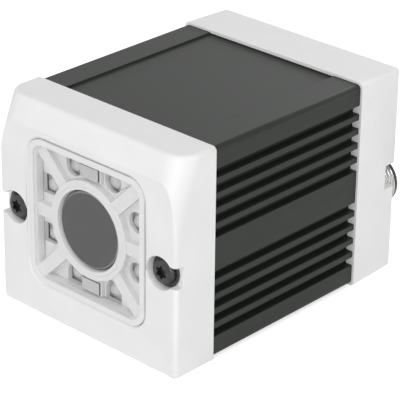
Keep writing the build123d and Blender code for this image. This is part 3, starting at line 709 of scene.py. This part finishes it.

# %% [markdown]
# Each lamp is a small square base of white ceramic with a clear resin dome, and a pale chip
# that shows through the dome. The dome is nearly half a ball on a short straight foot, as the
# mould makes it. The board is coated white round each lamp, so that it returns light too, and
# a small dark square sits at the lower right corner of each white patch.

# %% Lamps
LAMP_BASE_HEIGHT = 0.8 * MM
LAND_HEIGHT = 0.06 * MM
LAND_HALF = 3.2 * MM
MARK_HALF = 0.3 * MM
MARK_HEIGHT = 0.05 * MM
MARK_OFFSET = (1.35 * MM, -1.78 * MM)
LAMP_CHAMFER = 0.15 * MM
DOME_RADIUS = 1.45 * MM
DOME_FOOT = 0.2 * MM
DIE_HALF = 0.55 * MM
DIE_HEIGHT = 0.12 * MM
DOME_RINGS = 7
DOME_POINTS = 32

for number, lamp_name in enumerate(lamp_names, start=1):
    low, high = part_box(lamp_name)
    centre = middle(lamp_name)
    seat = high.y - LAMP_BASE_HEIGHT
    land = high.y - LAND_HEIGHT
    base_half = (high.x - low.x) / 2
    base = bmesh.new()
    block(base, centre, (base_half, base_half), seat, high.y, LAMP_CHAMFER)
    block(base, centre, (LAND_HALF, LAND_HALF), land, high.y, LAND_HEIGHT / 3)
    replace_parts(finished_piece(f"lamp_base_{number}", base, "lamp_ceramic"), lamp_name)

    mark = bmesh.new()
    mark_centre = (centre[0] + MARK_OFFSET[0], centre[1] + MARK_OFFSET[1])
    block(mark, mark_centre, (MARK_HALF, MARK_HALF), land - MARK_HEIGHT, land, MARK_HEIGHT / 2)
    finished_piece(f"lamp_mark_{number}", mark, "insert_black")

    die = bmesh.new()
    block(die, centre, (DIE_HALF, DIE_HALF), seat - DIE_HEIGHT, seat, DIE_HEIGHT / 2)
    finished_piece(f"lamp_die_{number}", die, "lamp_phosphor")

    dome = bmesh.new()
    rise = seat - DOME_FOOT - low.y
    rings = [ring(dome, centre, seat, DOME_RADIUS, DOME_POINTS)]
    for step in range(DOME_RINGS):
        angle = QUARTER_TURN * step / DOME_RINGS
        depth = seat - DOME_FOOT - rise * math.sin(angle)
        rings.append(ring(dome, centre, depth, DOME_RADIUS * math.cos(angle), DOME_POINTS))
    bands(dome, rings)
    dome.faces.new(rings[-1])
    finished_piece(f"lamp_dome_{number}", dome, "lamp_clear")
print("lamps made:", len(lamp_names))

# %% [markdown]
# The two target lights are milky blocks above and below the ring, which show where the camera
# looks. Their sides are painted black, a painted shade for the shadow in the narrow gap round
# each block, and a lower white collar holds them. From the side the black shows as a dark line
# between face and collar. Three paints on one mesh do this, told apart by the material index of
# each face. A chamfer keeps the front from looking cut out of paper.

# %% Target lights
TARGET_GAP = 0.22 * MM
TARGET_CHAMFER = 0.12 * MM
COLLAR_WALL = 0.32 * MM
COLLAR_DROP = 0.45 * MM
COLLAR_CHAMFER = 0.08 * MM
SHADED_SIDE = 1
WHITE_COLLAR = 2
target_names = ("target_light_top", "target_light_bottom")
for node_name in target_names:
    low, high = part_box(node_name)
    shape = bmesh.new()
    half = ((high.x - low.x) / 2 - TARGET_GAP, (high.z - low.z) / 2 - TARGET_GAP)
    # painted shade: the side faces are black for the shadow in the gap round the block
    for side in block(shape, middle(node_name), half, low.y, high.y, TARGET_CHAMFER):
        side.material_index = SHADED_SIDE
    light_faces = len(shape.faces)
    wide = [size + COLLAR_WALL for size in half]
    block(shape, middle(node_name), wide, low.y + COLLAR_DROP, high.y, COLLAR_CHAMFER)
    shape.faces.ensure_lookup_table()
    for face in shape.faces[light_faces:]:
        face.material_index = WHITE_COLLAR
    light = finished_piece(f"{node_name}_held", shape, "light_guide", "insert_black", "reflector_white")
    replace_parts(light, node_name)
print("target lights:", len(target_names))

# %% [markdown]
# The lens looks out through a disc of dark glass. The bevel round its face is a matt lighter grey,
# a painted highlight that shows as a thin pale line all round. Outside the bevel it steps back into
# its seat, and the step is painted black: painted shade for the shadowed gap round the disc.

# %% Lens filter
FILTER_POINTS = 96
FACE_DEPTH = 0.30 * MM
FACE_RADIUS = 7.74 * MM
BEVEL_DEPTH = 0.48 * MM
BEVEL_RADIUS = 8.00 * MM
STEP_DEPTH = 0.85 * MM
SEAT_RADIUS = 8.38 * MM
# painted highlight: the bevel's lighter grey stands for the highlight round the disc's face
BEVEL_HIGHLIGHT = 1
# painted shade: the black step stands for the shadow in the gap round the disc
SHADED_STEP = 2
low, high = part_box("lens_filter")
outline = [
    (low.y + FACE_DEPTH, FACE_RADIUS),
    (low.y + BEVEL_DEPTH, BEVEL_RADIUS),
    (low.y + STEP_DEPTH, BEVEL_RADIUS),
    (low.y + STEP_DEPTH, SEAT_RADIUS),
    (high.y, SEAT_RADIUS),
]
shape = bmesh.new()
rings = [ring(shape, lens_place, depth, radius, FILTER_POINTS) for depth, radius in outline]
bevel_faces, *step_bands = bands(shape, rings)
for face in bevel_faces:
    face.material_index = BEVEL_HIGHLIGHT
for step_faces in step_bands:
    for face in step_faces:
        face.material_index = SHADED_STEP
shape.faces.new(rings[0])
shape.faces.new(rings[-1])
disc = finished_piece("lens_filter_ground", shape, "filter_dark", "painted_bevel_highlight", "insert_black")
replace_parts(disc, "lens_filter")
print("filter faces:", len(disc.data.polygons))
